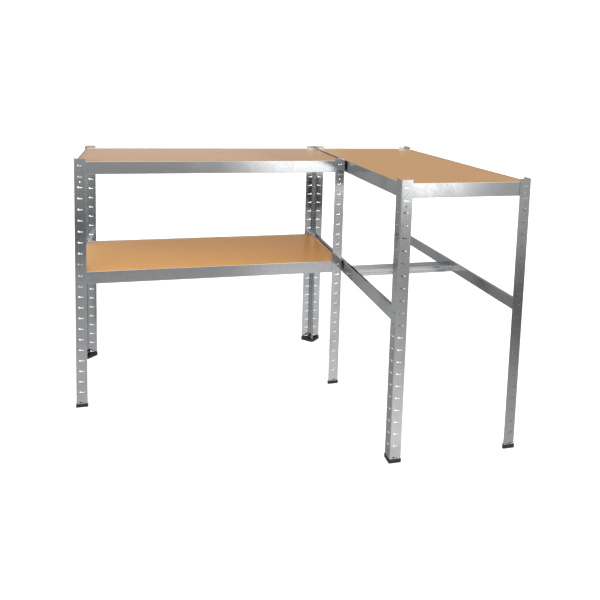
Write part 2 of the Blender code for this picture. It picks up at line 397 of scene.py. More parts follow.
@dataclass(frozen=True)
class Hardboard:
    """Smooth-faced hardboard: pressed fibres, faint mottling and rub marks, sawn edges, a screen print below."""

    name: str
    slot: str = "hardboard"
    face: Colour = (0.57, 0.295, 0.092)
    dark_fibre: Colour = (0.42, 0.19, 0.055)
    pale_fibre: Colour = (0.64, 0.37, 0.145)
    sawn: Colour = (0.36, 0.195, 0.085)
    roughness: float = 0.26
    gloss: float = 0.35
    fibre_scale: tuple[float, float, float] = (260.0, 620.0, 620.0)
    rub_scale: tuple[float, float, float] = (5.0, 22.0, 5.0)
    fleck_scale: float = 900.0
    mottle_scale: float = 6.0
    wave_scale: float = 5.0
    wave_depth: float = 0.0004
    fibre_depth: float = 0.000025
    screen_pitch: float = 0.0022
    screen_depth: float = 0.00025

    def material(self) -> bpy.types.Material:
        """Build the material.

        Returns:
            The material.
        """
        paint = Paint(self.name)
        place = paint.place()
        fibre = paint.noise(paint.scaled(place, self.fibre_scale), 1.0, 4.0, 0.65)
        fleck = paint.noise(place, self.fleck_scale, 2.0, 0.5)
        mottle = paint.noise(place, self.mottle_scale, 3.0, 0.5)
        rubbed = paint.noise(paint.scaled(place, self.rub_scale), 1.0, 4.0, 0.6).step(0.55, 0.8)
        tone = paint.mix(fibre.step(0.5, 0.75) * 0.35, self.face, self.dark_fibre)
        tone = paint.mix(fleck.step(0.58, 0.72) * 0.30 + mottle.step(0.5, 0.8) * 0.22, tone, self.pale_fibre)
        up = paint.node("ShaderNodeSeparateXYZ", {}, {0: paint.node("ShaderNodeNewGeometry", output="Normal")}, 2)
        side = 1.0 - abs(up).step(0.4, 0.8)
        tone = paint.mix(side * 0.9, tone, self.sawn)
        below = up.step(-0.4, -0.8)
        parts = paint.node("ShaderNodeSeparateXYZ", {}, {0: place}, 0).socket.node
        turn = 2 * math.pi / self.screen_pitch
        wires = [self._wave(Wire(paint, parts.outputs[axis]) * turn) for axis in (0, 1)]
        screen = wires[0] * wires[1] * below
        rough = self.roughness + 0.10 * rubbed + 0.05 * fibre + 0.25 * below + 0.3 * side
        wave = paint.noise(place, self.wave_scale, 1.0, 0.4)
        normal = paint.bump(wave, self.wave_depth)
        normal = paint.bump(fibre, self.fibre_depth, normal)
        normal = paint.bump(screen, self.screen_depth, normal)
        paint.set(Base_Color=tone, Roughness=rough, Normal=normal, Specular_IOR_Level=self.gloss)
        return paint.material

    @staticmethod
    def _wave(angle: Wire) -> Wire:
        """Half the sine of an angle, plus a half."""
        sine = angle.graph.node("ShaderNodeMath", {"operation": "SINE"}, {0: angle})
        return sine * 0.5 + 0.5


@dataclass(frozen=True)
class MouldedPlastic:
    """Matt black moulding: a spark-eroded grain, dust in patches and rubbed edges."""

    name: str = "black_plastic"
    slot: str = "black_plastic"
    body: Colour = (0.012, 0.012, 0.013)
    rubbed: Colour = (0.045, 0.045, 0.047)
    dust: Colour = (0.075, 0.070, 0.062)
    roughness: float = 0.46
    grain_scale: float = 1400.0
    grain_depth: float = 0.00003
    dust_scale: float = 120.0
    edge_reach: float = 0.0008

    def material(self) -> bpy.types.Material:
        """Build the material.

        Returns:
            The material.
        """
        paint = Paint(self.name)
        place = paint.place()
        grain = paint.noise(place, self.grain_scale, 2.0, 0.6)
        dusty = paint.noise(place, self.dust_scale, 4.0, 0.6).step(0.5, 0.85)
        edge = paint.edges(self.edge_reach)
        tone = paint.mix(dusty * 0.35, self.body, self.dust)
        tone = paint.mix(edge * 0.6, tone, self.rubbed)
        rough = self.roughness + 0.16 * dusty + 0.08 * grain - 0.08 * edge
        paint.set(Base_Color=tone, Roughness=rough, Normal=paint.bump(grain, self.grain_depth))
        return paint.material


Finish = Union[Galvanised, Hardboard, MouldedPlastic]


def arc(centre: Point, radius: float, start: float, end: float, steps: int) -> list[Point]:
    """Points along an arc, both ends included.

    Args:
        centre: The arc's centre.
        radius: Its radius.
        start: The angle that it starts at, in radians.
        end: The angle that it ends at.
        steps: How many chords it has.

    Returns:
        The points.
    """
    angles = [start + (end - start) * step / steps for step in range(steps + 1)]
    return [(centre[0] + radius * math.cos(a), centre[1] + radius * math.sin(a)) for a in angles]


def rounded_outline(corners: Sequence[Point], radii: Sequence[float], steps: int = 4) -> list[Point]:
    """Round the corners of a closed or open run of points.

    Args:
        corners: The corners in order.
        radii: The radius at each corner, 0 for a sharp one.
        steps: How many chords each round corner has.

    Returns:
        The rounded run.
    """
    points: list[Point] = []
    count = len(corners)
    for index, (corner, radius) in enumerate(zip(corners, radii)):
        if radius <= 0:
            points.append(corner)
            continue
        here = Vector(corner)
        back = (Vector(corners[index - 1]) - here).normalized()
        ahead = (Vector(corners[(index + 1) % count]) - here).normalized()
        half = back.angle(ahead) / 2
        centre = here + (back + ahead).normalized() * (radius / math.sin(half))
        first = here + back * (radius / math.tan(half)) - centre
        last = here + ahead * (radius / math.tan(half)) - centre
        start = math.atan2(first.y, first.x)
        sweep = math.remainder(math.atan2(last.y, last.x) - start, 2 * math.pi)
        points += arc((centre.x, centre.y), radius, start, start + sweep, steps)
    return points


def folded_strip(corners: Sequence[Point], radii: Sequence[float], steel: float, steps: int = 4) -> list[Point]:
    """Section of a strip of sheet folded along a path.

    Args:
        corners: The corners of the path of the sheet's middle, from one free edge to the other.
        radii: The bend radius of the sheet's middle at each corner, 0 at both ends.
        steel: The sheet's thickness.
        steps: How many chords each bend has.

    Returns:
        The closed section.
    """
    middle: list[Vector] = []
    for point in rounded_outline(corners, radii, steps):
        if not middle or (Vector(point) - middle[-1]).length > MERGE:
            middle.append(Vector(point))
    left: list[Point] = []
    right: list[Point] = []
    for index, point in enumerate(middle):
        before = middle[max(index - 1, 0)]
        after = middle[min(index + 1, len(middle) - 1)]
        first = (point - before).normalized() if index else (after - point).normalized()
        second = (after - point).normalized() if index < len(middle) - 1 else first
        across = Vector((-first.y - second.y, first.x + second.x)).normalized()
        reach = steel / 2 / max(across.dot(Vector((-first.y, first.x))), 0.5)
        left.append(tuple(point + across * reach))
        right.append(tuple(point - across * reach))
    return left + right[::-1]


def rectangle(left: float, low: float, right: float, high: float) -> list[Point]:
    """A rectangle's corners, anticlockwise from the lower left one."""
    return [(left, low), (right, low), (right, high), (left, high)]


@contextmanager
def opened(mesh: bpy.types.Mesh) -> Iterator[bmesh.types.BMesh]:
    """Open a mesh for edits, and write them back at the end.

    Args:
        mesh: The mesh.

    Yields:
        The open mesh.
    """
    bm = bmesh.new()
    try:
        bm.from_mesh(mesh)
        yield bm
        bm.to_mesh(mesh)
    finally:
        bm.free()


def linked(name: str, data: bpy.types.ID) -> bpy.types.Object:
    """Make an object in the scene.

    Args:
        name: Its name.
        data: Its mesh or camera.

    Returns:
        The object.
    """
    made = bpy.data.objects.new(name, data)
    bpy.context.scene.collection.objects.link(made)
    return made


class Blank:
    """A closed mesh that grows by extruded outlines, unions and cuts."""

    def __init__(self, name: str) -> None:
        """Start with nothing.

        Args:
            name: The mesh's name.
        """
        self.name = name
        self.mesh = bpy.data.meshes.new(name)

    def extrude(self, outline: Sequence[Point], low: float, high: float, sweep: str) -> "Blank":
        """Add a closed prism beside what is there.

        Args:
            outline: Pairs on the two axes that sweep leaves over, in X, Y, Z order.
            low: Where it starts along sweep.
            high: Where it ends.
            sweep: "X", "Y" or "Z".

        Returns:
            The blank itself.
        """
        axis = "XYZ".index(sweep)
        with opened(self.mesh) as bm:
            base = bm.faces.new([bm.verts.new(self._lifted(pair, low, axis)) for pair in outline])
            grown = bmesh.ops.extrude_face_region(bm, geom=[base])["geom"]
            moved = [item for item in grown if isinstance(item, bmesh.types.BMVert)]
            bmesh.ops.translate(bm, verts=moved, vec=self._lifted((0.0, 0.0), high - low, axis))
            bmesh.ops.recalc_face_normals(bm, faces=bm.faces)
        return self

    @staticmethod
    def _lifted(pair: Point, level: float, axis: int) -> Vector:
        """A point from its pair in an outline and its level along an axis.

        Args:
            pair: The two other coordinates.
            level: The coordinate along the axis.
            axis: The axis, as an index.

        Returns:
            The point.
        """
        values = list(pair)
        values.insert(axis, level)
        return Vector(values)

    def join(self, other: "Blank") -> None:
        """Add another blank's faces beside what is there. The other blank is used up.

        Args:
            other: The other blank.
        """
        with opened(self.mesh) as bm:
            bm.from_mesh(other.mesh)
        bpy.data.meshes.remove(other.mesh)

    def combine(self, other: "Blank", operation: str) -> "Blank":
        """Union with another blank, or cut it away. The other blank is used up.

        Args:
            other: The other blank.
            operation: "UNION" or "DIFFERENCE".

        Returns:
            The blank itself.
        """
        base, tool = [linked(blank.name, blank.mesh) for blank in (self, other)]
        modifier = base.modifiers.new("shape", "BOOLEAN")
        modifier.operation = operation
        modifier.solver = "EXACT"
        modifier.object = tool
        bpy.context.view_layer.update()
        result = bpy.data.meshes.new_from_object(base.evaluated_get(bpy.context.evaluated_depsgraph_get()))
        for obj in (base, tool):
            used = obj.data
            bpy.data.objects.remove(obj)
            bpy.data.meshes.remove(used)
        self.mesh = result
        self.mesh.name = self.name
        return self

    def finished(self, smooth_under: float = 40.0) -> bpy.types.Mesh:
        """The mesh with doubles merged and its round faces shaded smooth.

        Args:
            smooth_under: The angle between two faces above which an edge stays sharp, in degrees.

        Returns:
            The mesh.
        """
        with opened(self.mesh) as bm:
            bmesh.ops.remove_doubles(bm, verts=bm.verts, dist=MERGE)
            bmesh.ops.recalc_face_normals(bm, faces=bm.faces)
        self.mesh.shade_smooth()
        self.mesh.set_sharp_from_angle(angle=math.radians(smooth_under))
        piece = linked(self.name, self.mesh)
        modifier = piece.modifiers.new("normals", "WEIGHTED_NORMAL")
        modifier.keep_sharp = True
        bpy.context.view_layer.update()
        weighted = bpy.data.meshes.new_from_object(piece.evaluated_get(bpy.context.evaluated_depsgraph_get()))
        bpy.data.objects.remove(piece)
        bpy.data.meshes.remove(self.mesh)
        self.mesh = weighted
        self.mesh.name = self.name
        return self.mesh


@dataclass
class Shop:
    """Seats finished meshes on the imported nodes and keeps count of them."""

    materials: dict[str, bpy.types.Material] = field(default_factory=dict)
    made: int = 0

    def dressed(self, finish: Finish) -> bpy.types.Material:
        """The material of a finish, built once.

        Args:
            finish: The finish.

        Returns:
            Its material.
        """
        if finish.name not in self.materials:
            self.materials[finish.name] = finish.material()
        return self.materials[finish.name]

    def seat(self, mesh: bpy.types.Mesh, node: str, turn: float, finish: Finish) -> bpy.types.Object:
        """Put a copy of a mesh where a node is, in the node's stead.

        Args:
            mesh: The piece's mesh in its own coordinates, before it is turned.
            node: The node that it stands for.
            turn: Its angle about the upright axis, in radians.
            finish: Its finish.

        Returns:
            The seated piece.
        """
        ending = "_sheet" if isinstance(finish, Galvanised) else "_body"
        piece = linked(node + ending, mesh.copy())
        piece.rotation_euler = (0.0, 0.0, turn)
        bpy.context.view_layer.update()
        corners = [piece.matrix_world @ vertex.co for vertex in mesh.vertices]
        low = Vector([min(corner[axis] for corner in corners) for axis in range(3)])
        high = Vector([max(corner[axis] for corner in corners) for axis in range(3)])
        node_low, node_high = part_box(node)
        piece.location = (node_low + node_high - low - high) / 2
        self._mark(piece.data)
        piece.data.materials.clear()
        piece.data.materials.append(self.dressed(finish))
        piece.visible_glossy = node not in UNSEEN_IN_STEEL
        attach(piece, frame["nodes"][node]["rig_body"])
        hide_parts(node)
        error = max(abs((node_high - node_low - high + low)[axis]) for axis in range(3))
        level = logging.WARNING if error > SEAT_TOLERANCE else logging.INFO
        log.log(level, "%s: %d faces, size off by %.2f mm", piece.name, len(piece.data.polygons), error * 1000)
        return piece

    def _mark(self, mesh: bpy.types.Mesh) -> None:
        """Give a mesh a place of its own in the finish, so that no two pieces look alike.

        Args:
            mesh: The mesh.
        """
        self.made += 1
        seed = (1.7 * self.made, 0.9 * self.made, 2.3 * self.made)
        marks = mesh.attributes.new("seed", "FLOAT_VECTOR", "POINT")
        marks.data.foreach_set("vector", seed * len(mesh.vertices))


@dataclass
class Post:
    """An upright: equal angle with a column of keyed slots down both flanges."""

    height: float = 0.920
    bottom: float = 0.0033
    width: float = 0.039
    steel: float = 0.0015
    heel_radius: float = 0.003
    slot_pitch: float = 0.040
    top_slot_drop: float = 0.0233
    slot_width: float = 0.017
    slot_height: float = 0.0024
    key_width: float = 0.0055
    key_rise: float = 0.0044
    slot_round: float = 0.0005
    slot_count: int = 23
    peg_hole_radius: float = 0.0025
    peg_hole_count: int = 2
    hole_sides: int = 16

    def build(self) -> bpy.types.Mesh:
        """Build the post with its heel at the origin and its flanges along +X and +Y.

        Returns:
            The mesh.
        """
        middle = self.steel / 2
        path = [(self.width, middle), (middle, middle), (middle, self.width)]
        section = folded_strip(path, (0.0, self.heel_radius - middle, 0.0), self.steel, 6)
        blank = Blank("post").extrude(section, self.bottom, self.height, "Z")
        holes = Blank("post_holes")
        top = self.height - self.top_slot_drop
        outlines = [self._slot(top - row * self.slot_pitch) for row in range(self.slot_count)]
        outlines += [self._peg_hole(top - (row + 0.5) * self.slot_pitch) for row in range(self.peg_hole_count)]
        for outline in outlines:
            for sweep in "XY":
                holes.extrude(outline, -self.steel, 2 * self.steel, sweep)
        return blank.combine(holes, "DIFFERENCE").finished()

    def _slot(self, level: float) -> list[Point]:
        """A slit with a tall key beside the heel, its corners slightly round.

        Args:
            level: The height of the slit's middle.

        Returns:
            The outline, as (distance from the heel, z).
        """
        near = (self.width - self.slot_width) / 2
        bottom = level - self.slot_height / 2
        top = level + self.slot_height / 2
        key_top = level + self.key_rise
        key_end = near + self.key_width
        end = near + self.slot_width
        corners = [(near, bottom), (end, bottom), (end, top), (key_end, top), (key_end, key_top), (near, key_top)]
        return rounded_outline(corners, [self.slot_round] * len(corners), 2)

    def _peg_hole(self, level: float) -> list[Point]:
        """A small round hole in the middle of the flange."""
        full = 2 * math.pi * (1 - 1 / self.hole_sides)
        return arc((self.width / 2, level), self.peg_hole_radius, 0.0, full, self.hole_sides - 1)


@dataclass
class Foot:
    """A moulded cap on the end of a post: a socket for the angle and a lightening pocket behind it."""

    height: float = 0.013
    floor: float = 0.003
    post_width: float = 0.039
    post_steel: float = 0.0015
    overhang: float = 0.0016
    nose: float = 0.005
    clearance: float = 0.0003
    wall: float = 0.0016
    corner_radius: float = 0.0015
    chamfer: float = 0.0007
    rib: float = 0.0014
    pocket_round: float = 0.0008
    smooth_under: float = 30.0

    def build(self) -> bpy.types.Mesh:
        """Build the foot round a post whose heel is at the origin.

        Returns:
            The mesh.
        """
        low = -self.overhang
        high = self.post_width + self.overhang
        corners = [(low, low), (high, low), (high, self.nose), (self.nose, high), (low, high)]
        radii = [self.corner_radius] * len(corners)
        mesh = self._chamfered(rounded_outline(corners, radii, 4))
        near = -self.clearance
        inner = self.post_steel + self.clearance
        far = self.post_width + self.clearance
        socket = [(near, near), (far, near), (far, inner), (inner, inner), (inner, far), (near, far)]
        mesh.combine(Blank("socket").extrude(socket, self.floor, 2 * self.height, "Z"), "DIFFERENCE")
        return mesh.combine(self._pockets(inner + self.wall), "DIFFERENCE").finished(self.smooth_under)

    def _chamfered(self, outline: Sequence[Point]) -> Blank:
        """The cap's outside with its top and bottom edges broken.

        Args:
            outline: The cap seen from above.

        Returns:
            The blank.
        """
        blank = Blank("foot").extrude(outline, 0.0, self.height, "Z")
        with opened(blank.mesh) as bm:
            rims = [edge for edge in bm.edges if abs(edge.verts[0].co.z - edge.verts[1].co.z) < self.chamfer]
            bmesh.ops.bevel(bm, geom=rims, offset=self.chamfer, segments=2, affect="EDGES", profile=0.5)
        return blank

    def _pockets(self, start: float) -> Blank:
        """Two three-cornered pockets with a rib between them, from the heel to the slanting face.

        Args:
            start: How far from the heel both start, along X and along Y.

        Returns:
            What is cut away.
        """
        reach = self.post_width + self.nose - self.wall * math.sqrt(2)
        half = self.rib / math.sqrt(2)
        pockets = Blank("pockets")
        for flipped in (False, True):
            point = ((reach + half * 2) / 2, (reach - half * 2) / 2)
            corners = [(start + half * 2, start), (reach - start, start), point]
            if flipped:
                corners = [(b, a) for a, b in corners]
            outline = rounded_outline(corners, [self.pocket_round] * 3, 3)
            pockets.extrude(outline, self.floor, 2 * self.height, "Z")
        return pockets


@dataclass
class Beam:
    """A folded beam with its web to the outside, a connector with two hooks at each end, and a slot for a tie."""

    length: float
    web_inset: float
    fold_inset: float
    tie_slot: bool
    flat_top: bool = False
    height: float = 0.046
    steel: float = 0.0012
    web_outer: float = 0.0018
    ledge_edge: float = 0.0162
    ledge_top: float = -0.006
    lip_reach: float = 0.010
    flange_reach: float = 0.012
    bend: float = 0.0016
    hem_gap: float = 0.00004
    connector_length: float = 0.030
    connector_foot: float = -0.0578
    connector_round: float = 0.003
    connector_top_round: float = 0.001
    hook_near: float = 0.0115
    hook_neck: float = 0.0160
    hook_far: float = 0.0275
    hook_root: float = -0.0132
    hook_rise: float = 0.0025
    hook_lap: float = 0.0025
    hook_step: float = 0.0018
    hook_outer: float = -0.0015
    hook_inner: float = -0.0003
    hook_round: float = 0.0005
    hook_lean: float = 0.0008
    shank_inset: float = 0.0003
    shank_sink: float = 0.0004
    slot_pitch: float = 0.040
    tie_slot_width: float = 0.006
    tie_slot_low: float = -0.0298
    tie_slot_high: float = -0.0135
    tie_slot_round: float = 0.0012

    def build(self) -> bpy.types.Mesh:
        """Build the beam along +X from bay corner to bay corner, its outside towards -Y, its top at z = 0.

        Returns:
            The mesh.
        """
        section = self._rail_section() if self.flat_top else self._beam_section()
        blank = Blank("beam").extrude(section, self.fold_inset, self.length - self.fold_inset, "X")
        plates = Blank("plates")
        near = self.web_inset
        for start in (near, self.length - near - self.connector_length):
            plates.extrude(self._plate(start), self.web_outer, self.web_outer + self.steel, "Y")
        blank.combine(plates, "UNION")
        blank.combine(self._hooks(), "UNION")
        if self.tie_slot:
            blank.combine(self._tie_opening(), "DIFFERENCE")
        return blank.finished()

    def _beam_section(self) -> list[Point]:
        """Lip, web, closed hem and ledge.

        Returns:
            The section, as (y, z).
        """
        half = self.steel / 2
        web = self.web_outer + half
        hem = web + self.steel + self.hem_gap
        fold = (self.steel + self.hem_gap) / 2
        low = half - self.height
        shelf = self.ledge_top - half
        path = [(self.web_outer + self.lip_reach, low), (web, low), (web, -half), (hem, -half), (hem, shelf),
                (self.ledge_edge, shelf)]
        return folded_strip(path, (0.0, self.bend, fold, fold, half * 1.2, 0.0), self.steel)

    def _rail_section(self) -> list[Point]:
        """A plain angle: web and top flange.

        Returns:
            The section, as (y, z).
        """
        half = self.steel / 2
        web = self.web_outer + half
        path = [(web, -self.height), (web, -half), (self.web_outer + self.flange_reach, -half)]
        return folded_strip(path, (0.0, self.bend, 0.0), self.steel)

    def _plate(self, start: float) -> list[Point]:
        """A connector's plate, round at its lower corners.

        Args:
            start: Where along the beam it starts.

        Returns:
            The outline, as (x, z).
        """
        corners = rectangle(start, self.connector_foot, start + self.connector_length, -self.steel)
        radii = (self.connector_round,) * 2 + (self.connector_top_round,) * 2
        return rounded_outline(corners, radii, 5)

    def _hooks(self) -> Blank:
        """Two hooks at each end, one slot apart: a dished plate in the shape of a slot, and its shank.

        Returns:
            The hooks.
        """
        hooks = Blank("hooks")
        outer = self.hook_inner - self.shank_sink
        inner = self.web_outer + self.steel / 2
        for row in range(2):
            root = self.hook_root - row * self.slot_pitch
            top = root + self.hook_rise - self.shank_inset
            for mirrored in (False, True):
                self._hook_plate(hooks, root, mirrored)
                low, high = self.hook_near + self.shank_inset, self.hook_neck - self.shank_inset
                if mirrored:
                    low, high = self.length - high, self.length - low
                hooks.extrude(rectangle(outer, root, inner, top), low, high, "X")
        return hooks

    def _hook_plate(self, hooks: Blank, root: float, mirrored: bool) -> None:
        """Add one hook's plate, which leans out from its crown to its toe.

        Args:
            hooks: The blank that it's added to.
            root: The height of the slot's lower edge.
            mirrored: Whether it's at the beam's far end.
        """
        toe = root - self.hook_lap
        step = toe + self.hook_step
        crown = root + self.hook_rise
        corners = [(self.hook_near, toe), (self.hook_far, toe), (self.hook_far, step), (self.hook_neck, step),
                   (self.hook_neck, crown), (self.hook_near, crown)]
        if mirrored:
            corners = [(self.length - x, z) for x, z in corners]
        outline = rounded_outline(corners, [self.hook_round] * len(corners), 3)
        plate = Blank("plate").extrude(outline, self.hook_outer, self.hook_inner, "Y")
        for vertex in plate.mesh.vertices:
            if vertex.co.y < (self.hook_outer + self.hook_inner) / 2:
                vertex.co.y += self.hook_lean * (vertex.co.z - toe) / (crown - toe)
        hooks.join(plate)

    def _tie_opening(self) -> Blank:
        """The slot in the middle of the web that a tie's tongue sits in.

        Returns:
            What is cut away.
        """
        near = (self.length - self.tie_slot_width) / 2
        far = (self.length + self.tie_slot_width) / 2
        corners = rectangle(near, self.tie_slot_low, far, self.tie_slot_high)
        outline = rounded_outline(corners, [self.tie_slot_round] * 4, 4)
        return Blank("opening").extrude(outline, 0.0, self.web_outer + 2 * self.steel, "Y")


@dataclass
class Tie:
    """A folded angle across the middle of a bay, with a tab and a tongue at each end."""

    span: float = BAY_DEPTH
    steel: float = 0.0012
    flange: float = 0.038
    low: float = -0.0375
    held: float = -0.0075
    crown: float = -0.006
    end_gap: float = 0.0033
    step: float = 0.0165
    bend: float = 0.0016
    tab_width: float = 0.014
    tab_margin: float = 0.005
    tab_round: float = 0.002
    crest_round: float = 0.0008
    tongue_start: float = 0.0009
    tongue_low: float = -0.0295
    tongue_high: float = -0.0155

    def build(self) -> bpy.types.Mesh:
        """Build the tie along +Y, its web at x = 0 and its flange towards -X.

        Returns:
            The mesh.
        """
        half = self.steel / 2
        path = [(-self.flange, self.low + half), (half, self.low + half), (half, self.held)]
        section = folded_strip(path, (0.0, self.bend, 0.0), self.steel)
        blank = Blank("tie").extrude(section, self.end_gap, self.span - self.end_gap, "Y")
        crest = Blank("crest").extrude(self._crest(), 0.0, self.steel, "X")
        blank.combine(crest, "UNION")
        ends = Blank("ends")
        for mirrored in (False, True):
            tab = rectangle(-self.tab_width, self.low + self.tab_margin, half, self.held - self.tab_margin)
            outline = rounded_outline(tab, (self.tab_round, 0.0, 0.0, self.tab_round), 4)
            first, last = self._mirrored(self.end_gap, self.end_gap + self.steel, mirrored)
            ends.extrude(outline, first, last, "Y")
        blank.combine(ends, "UNION")
        tongues = Blank("tongues")
        for mirrored in (False, True):
            first, last = self._mirrored(self.tongue_start, self.end_gap + 2 * self.steel, mirrored)
            tongues.extrude(rectangle(first, self.tongue_low, last, self.tongue_high), 0.0, self.steel, "X")
        return blank.combine(tongues, "UNION").finished()

    def _mirrored(self, first: float, last: float, mirrored: bool) -> Point:
        """A stretch along the tie, or the same stretch at its other end."""
        return (self.span - last, self.span - first) if mirrored else (first, last)

    def _crest(self) -> list[Point]:
        """The part of the web that rises under the board.

        Returns:
            The outline, as (y, z).
        """
        root = self.held - 4 * self.steel
        corners = rectangle(self.step, root, self.span - self.step, self.crown)
        return rounded_outline(corners, (0.0, 0.0, self.crest_round, self.crest_round), 3)


@dataclass
class Board:
    """A loose hardboard panel, very slightly uneven, with broken edges."""

    length: float = 0.9896
    depth: float = 0.4396
    thickness: float = 0.005
    cell: float = 0.020
    edge: float = 0.0004
    unevenness: float = 0.00012
    dents: float = 7.0
    smooth_under: float = 40.0

    def build(self) -> bpy.types.Mesh:
        """Build the board about the origin, its length along +X.

        Returns:
            The mesh.
        """
        mesh = bpy.data.meshes.new("board")
        with opened(mesh) as bm:
            bmesh.ops.create_cube(bm, size=1.0)
            bmesh.ops.scale(bm, vec=(self.length, self.depth, self.thickness), verts=bm.verts)
            bmesh.ops.bevel(bm, geom=bm.edges, offset=self.edge, segments=2, affect="EDGES", profile=0.5)
            for axis, size in enumerate((self.length, self.depth)):
                self._divide(bm, axis, size)
            for vertex in bm.verts:
                inside = min(self.length / 2 - abs(vertex.co.x), self.depth / 2 - abs(vertex.co.y))
                if inside > self.cell / 2:
                    dip = 0.5 + 0.5 * noise.noise(vertex.co * self.dents)
                    vertex.co.z -= math.copysign(self.unevenness * dip, vertex.co.z)
            bmesh.ops.recalc_face_normals(bm, faces=bm.faces)
        mesh.shade_smooth()
        mesh.set_sharp_from_angle(angle=math.radians(self.smooth_under))
        return mesh

    def _divide(self, bm: bmesh.types.BMesh, axis: int, size: float) -> None:
        """Cut a board's faces across one axis, a cell apart.

        Args:
            bm: The open mesh.
            axis: The axis, as an index.
            size: The board's size along it.
        """
        count = round(size / self.cell)
        for index in range(1, count):
            place = Vector((0.0, 0.0, 0.0))
            place[axis] = size * (index / count - 0.5)
            normal = Vector((0.0, 0.0, 0.0))
            normal[axis] = 1.0
            whole = bm.verts[:] + bm.edges[:] + bm.faces[:]
            bmesh.ops.bisect_plane(bm, geom=whole, plane_co=place, plane_no=normal)


@dataclass
class Bay:
    """One bay of racking: posts on feet, beams and rails between them, ties across it and loose boards."""

    prefix: str
    beam_sides: dict[str, Side]
    rail_sides: dict[str, Side]
    ties: tuple[str, ...]
    tie_turn: float
    boards: dict[str, Hardboard]
    board_turn: float
    long_sides: tuple[Side, ...]

    def dress(self, shop: Shop, stock: "Stock") -> None:
        """Seat every piece of the bay.

        Args:
            shop: Seats the pieces.
            stock: The meshes and finishes that they are made of.
        """
        for corner in Corner:
            name = corner.name.lower()
            shop.seat(stock.post, f"{self.prefix}_post_{name}", corner.turn, stock.upright_steel)
            shop.seat(stock.foot, f"{self.prefix}_foot_{name}", corner.turn, stock.plastic)
        long_beam = stock.slotted_beam if self.ties else stock.long_beam
        for node, side in self.beam_sides.items():
            mesh = long_beam if side in self.long_sides else stock.short_beam
            shop.seat(mesh, node, side.turn, stock.beam_steel)
        for node, side in self.rail_sides.items():
            shop.seat(stock.rail, node, side.turn, stock.beam_steel)
        for node in self.ties:
            shop.seat(stock.tie, node, self.tie_turn, stock.tie_steel)
        for node, finish in self.boards.items():
            shop.seat(stock.board, node, self.board_turn, finish)


@dataclass
class Stock:
    """The meshes that both bays share, and their finishes."""

    upright_steel: Galvanised = Galvanised("galvanised_upright", "galvanised_steel", Grain.ALONG_Z)
    beam_steel: Galvanised = Galvanised("galvanised_beam", "galvanised_beam", Grain.ALONG_X)
    tie_steel: Galvanised = Galvanised("galvanised_tie", "galvanised_beam", Grain.ALONG_Y)
    worktop: Hardboard = Hardboard("hardboard_worktop")
    # A darker copy of the worktop hardboard, about 0.8 of its colours, for the main bay's top board: painted shade.
    shaded_worktop: Hardboard = Hardboard("hardboard_grey", face=(0.45, 0.230, 0.072), dark_fibre=(0.34, 0.150, 0.044),
                                        pale_fibre=(0.51, 0.290, 0.112))
    # A lighter, more orange copy of the hardboard for the main bay's shelf board: painted light.
    shelf: Hardboard = Hardboard("hardboard_shelf", face=(0.80, 0.400, 0.100), dark_fibre=(0.60, 0.260, 0.060),
                                 pale_fibre=(0.86, 0.480, 0.150))
    plastic: MouldedPlastic = MouldedPlastic()
    long_insets: Point = (0.0018, 0.0045)
    short_insets: Point = (0.0045, 0.0165)
    rail_insets: Point = (0.0018, 0.0018)
    post: bpy.types.Mesh = field(init=False)
    foot: bpy.types.Mesh = field(init=False)
    long_beam: bpy.types.Mesh = field(init=False)
    slotted_beam: bpy.types.Mesh = field(init=False)
    short_beam: bpy.types.Mesh = field(init=False)
    rail: bpy.types.Mesh = field(init=False)
    tie: bpy.types.Mesh = field(init=False)
    board: bpy.types.Mesh = field(init=False)

    def build(self) -> None:
        """Build each mesh once."""
        self.post = Post().build()
        self.foot = Foot().build()
        self.long_beam = Beam(BAY_LENGTH, *self.long_insets, tie_slot=False).build()
        self.slotted_beam = Beam(BAY_LENGTH, *self.long_insets, tie_slot=True).build()
        self.short_beam = Beam(BAY_DEPTH, *self.short_insets, tie_slot=False).build()
        self.rail = Beam(BAY_LENGTH, *self.rail_insets, tie_slot=True, flat_top=True).build()
        self.tie = Tie().build()
        self.board = Board().build()


@dataclass(frozen=True)
class Wall:
    """The light that comes from one side of the studio, by elevation. Angles are in degrees."""

    start: float
    levels: tuple[tuple[float, float], ...]
    blend: float = 6.0


def flat_sheet(name: str, corners: Sequence[tuple[float, float, float]], **sockets: Value) -> bpy.types.Object:
    """Make one flat sheet of the studio, which throws no light on the bench.

    Args:
        name: Its name.
        corners: Its four corners in order.
        sockets: Settings of its paint.

    Returns:
        The sheet.
    """
    mesh = bpy.data.meshes.new(name)
    mesh.from_pydata(corners, [], [(0, 1, 2, 3)])
    sheet = linked(name, mesh)
    paint = Paint(name)
    paint.set(Roughness=0.9, Specular_IOR_Level=0.0, **sockets)
    mesh.materials.append(paint.material)
    sheet.visible_diffuse = False
    return sheet


@dataclass(frozen=True)
class Flag:
    """A dark card that only the steel's reflections see."""

    name: str
    across: Point
    depth: float
    height: Point
    tone: float = 0.02

    def build(self) -> None:
        """Hang the card."""
        (left, right), (low, high) = self.across, self.height
        corners = [(x, self.depth, z) for x, z in rectangle(left, low, right, high)]
        card = flat_sheet(self.name, corners, Base_Color=(self.tone,) * 3)
        card.visible_camera = False
        card.visible_shadow = False


